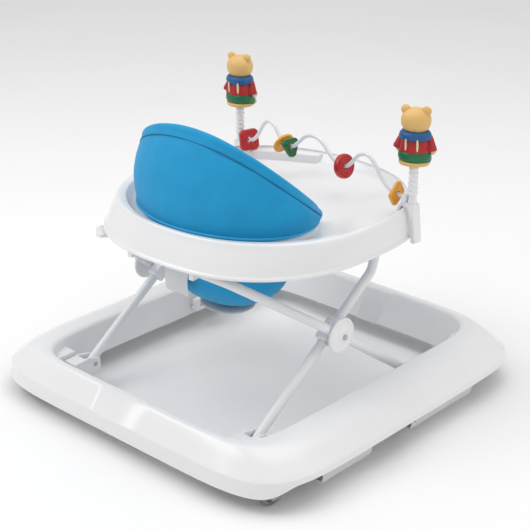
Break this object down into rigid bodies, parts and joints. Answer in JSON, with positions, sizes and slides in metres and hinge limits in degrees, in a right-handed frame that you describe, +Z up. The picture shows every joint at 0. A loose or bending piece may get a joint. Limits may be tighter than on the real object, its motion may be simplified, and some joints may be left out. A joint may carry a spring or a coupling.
{
  "type": "baby walker",
  "caption": "Baby walker with a square base ring on wheels, a folding X frame, a round play tray, a padded cloth seat and a toy bar with beads and bear figures.",
  "frame": {"origin": "centre of the footprint, on the floor under the wheels", "axes": "+Z up, +Y the way the child faces, +X to the child's right"},
  "size_m": [0.68, 0.686, 0.5263],
  "materials": {
    "white_plastic": "gloss moulded",
    "white_paint": "gloss powder coat",
    "wheel": "satin",
    "grey_plastic": "matte moulded",
    "grip_strip": "matte",
    "steel": "plated",
    "blue_fabric": "woven, padded",
    "grey_fabric": "woven, padded",
    "label": "blank sewn tag",
    "red_plastic": "gloss moulded",
    "green_plastic": "gloss moulded",
    "yellow_plastic": "gloss moulded",
    "tan_vinyl": "soft vinyl"
  },
  "bodies": {
    "base": {"base_shell": "white_plastic", "friction_strip_left_rear": "grip_strip", "friction_strip_left_front": "grip_strip", "friction_strip_right_rear": "grip_strip", "friction_strip_right_front": "grip_strip", "friction_strip_front_left": "grip_strip", "friction_strip_front_right": "grip_strip", "friction_strip_rear_middle": "grip_strip", "rear_wheel_bracket_left": "grey_plastic", "rear_wheel_bracket_right": "grey_plastic", "rear_wheel_axle_left": "steel", "rear_wheel_axle_right": "steel", "rear_pivot_bracket_left": "white_plastic", "rear_pivot_bracket_right": "white_plastic", "rear_pivot_pin_left": "steel", "rear_pivot_pin_right": "steel", "slide_guide_left": "white_plastic", "slide_guide_right": "white_plastic"},
    "rear_leg": {"rear_leg_tube": "white_paint", "hub_clamp_left": "white_plastic", "hub_clamp_right": "white_plastic", "hub_cover_left": "white_plastic", "hub_cover_right": "white_plastic", "hub_screw_left": "steel", "hub_screw_right": "steel"},
    "front_leg": {"front_leg_tube": "white_paint", "slider_pin_left": "grey_plastic", "slider_pin_right": "grey_plastic"},
    "tray": {"tray_shell": "white_plastic", "release_lever_bracket": "white_plastic", "seat_back": "blue_fabric", "seat_sling": "blue_fabric", "seat_bottom_pad": "grey_fabric", "seat_label": "label", "toy_wire": "white_paint", "tray_saddle_left": "white_plastic", "tray_saddle_right": "white_plastic", "tray_rail_left": "white_plastic", "tray_rail_right": "white_plastic", "toy_clip_left": "white_plastic", "toy_clip_right": "white_plastic", "toy_post_left": "white_plastic", "toy_post_right": "white_plastic"},
    "lever": {"release_lever": "white_plastic"},
    "bead_red_square": {"bead_red_square": "red_plastic"},
    "bead_yellow_ring": {"bead_yellow_ring": "yellow_plastic"},
    "bead_green_triangle": {"bead_green_triangle": "green_plastic"},
    "bead_red_ring": {"bead_red_ring": "red_plastic"},
    "bead_yellow_diamond": {"bead_yellow_diamond": "yellow_plastic"},
    "rear_wheel_left": {"rear_wheel_left": "wheel"},
    "caster_fork_left": {"caster_fork_left": "grey_plastic", "caster_axle_left": "steel"},
    "caster_wheel_left": {"caster_wheel_left": "wheel"},
    "bear_left": {"toy_bear_left": "tan_vinyl"},
    "rear_wheel_right": {"rear_wheel_right": "wheel"},
    "caster_fork_right": {"caster_fork_right": "grey_plastic", "caster_axle_right": "steel"},
    "caster_wheel_right": {"caster_wheel_right": "wheel"},
    "bear_right": {"toy_bear_right": "tan_vinyl"}
  },
  "joints": [
    {"name": "frame_fold", "type": "hinge", "parent": "base", "child": "rear_leg", "pos_m": [0, -0.2247, 0.0485], "axis": [1, 0, 0], "range_deg": [-24, 0]},
    {"name": "front_leg_hub", "type": "hinge", "parent": "rear_leg", "child": "front_leg", "pos_m": [0, -0.049, 0.173], "axis": [1, 0, 0], "range_deg": [0, 48]},
    {"name": "tray_pivot", "type": "hinge", "parent": "rear_leg", "child": "tray", "pos_m": [0, 0.075, 0.307], "axis": [1, 0, 0], "range_deg": [0, 24]},
    {"name": "release_lever_press", "type": "hinge", "parent": "tray", "child": "lever", "pos_m": [-0.1516, -0.1683, 0.29], "axis": [-0.7431, 0.6691, 0], "range_deg": [0, 8], "stiffness_Nm_per_rad": 0.5, "springref_deg": -2.86},
    {"name": "bead_red_square_turn", "type": "hinge", "parent": "tray", "child": "bead_red_square", "pos_m": [-0.1732, 0.1571, 0.37], "axis": [0.9521, -0.2478, 0.1792], "continuous": true},
    {"name": "bead_yellow_ring_turn", "type": "hinge", "parent": "tray", "child": "bead_yellow_ring", "pos_m": [-0.0673, 0.1336, 0.3915], "axis": [0.8632, -0.1598, -0.4789], "continuous": true},
    {"name": "bead_green_triangle_turn", "type": "hinge", "parent": "tray", "child": "bead_green_triangle", "pos_m": [-0.0461, 0.1298, 0.3903], "axis": [0.9419, -0.1608, 0.2948], "range_deg": [-30, 270]},
    {"name": "bead_red_ring_turn", "type": "hinge", "parent": "tray", "child": "bead_red_ring", "pos_m": [0.0884, 0.113, 0.3892], "axis": [0.9803, -0.0783, 0.1811], "continuous": true},
    {"name": "bead_yellow_diamond_turn", "type": "hinge", "parent": "tray", "child": "bead_yellow_diamond", "pos_m": [0.2037, 0.1082, 0.37], "axis": [0.9838, -0.0036, -0.1792], "continuous": true},
    {"name": "rear_wheel_left_spin", "type": "hinge", "parent": "base", "child": "rear_wheel_left", "pos_m": [-0.286, -0.2885, 0.022], "axis": [1, 0, 0], "continuous": true},
    {"name": "caster_left_swivel", "type": "hinge", "parent": "base", "child": "caster_fork_left", "pos_m": [-0.262, 0.266, 0.045], "axis": [0, 0, 1], "continuous": true},
    {"name": "caster_wheel_left_spin", "type": "hinge", "parent": "caster_fork_left", "child": "caster_wheel_left", "pos_m": [-0.262, 0.256, 0.022], "axis": [1, 0, 0], "continuous": true},
    {"name": "bear_left_swivel", "type": "hinge", "parent": "tray", "child": "bear_left", "pos_m": [-0.2042, 0.1663, 0.427], "axis": [0, 0, 1], "continuous": true},
    {"name": "rear_wheel_right_spin", "type": "hinge", "parent": "base", "child": "rear_wheel_right", "pos_m": [0.286, -0.2885, 0.022], "axis": [1, 0, 0], "continuous": true},
    {"name": "caster_right_swivel", "type": "hinge", "parent": "base", "child": "caster_fork_right", "pos_m": [0.262, 0.266, 0.045], "axis": [0, 0, 1], "continuous": true},
    {"name": "caster_wheel_right_spin", "type": "hinge", "parent": "caster_fork_right", "child": "caster_wheel_right", "pos_m": [0.262, 0.256, 0.022], "axis": [1, 0, 0], "continuous": true},
    {"name": "bear_right_swivel", "type": "hinge", "parent": "tray", "child": "bear_right", "pos_m": [0.236, 0.1091, 0.427], "axis": [0, 0, 1], "continuous": true}
  ],
  "couplings": [
    {"joint": "front_leg_hub", "follows": "frame_fold", "ratio": -2},
    {"joint": "tray_pivot", "follows": "frame_fold", "ratio": -1}
  ]
}
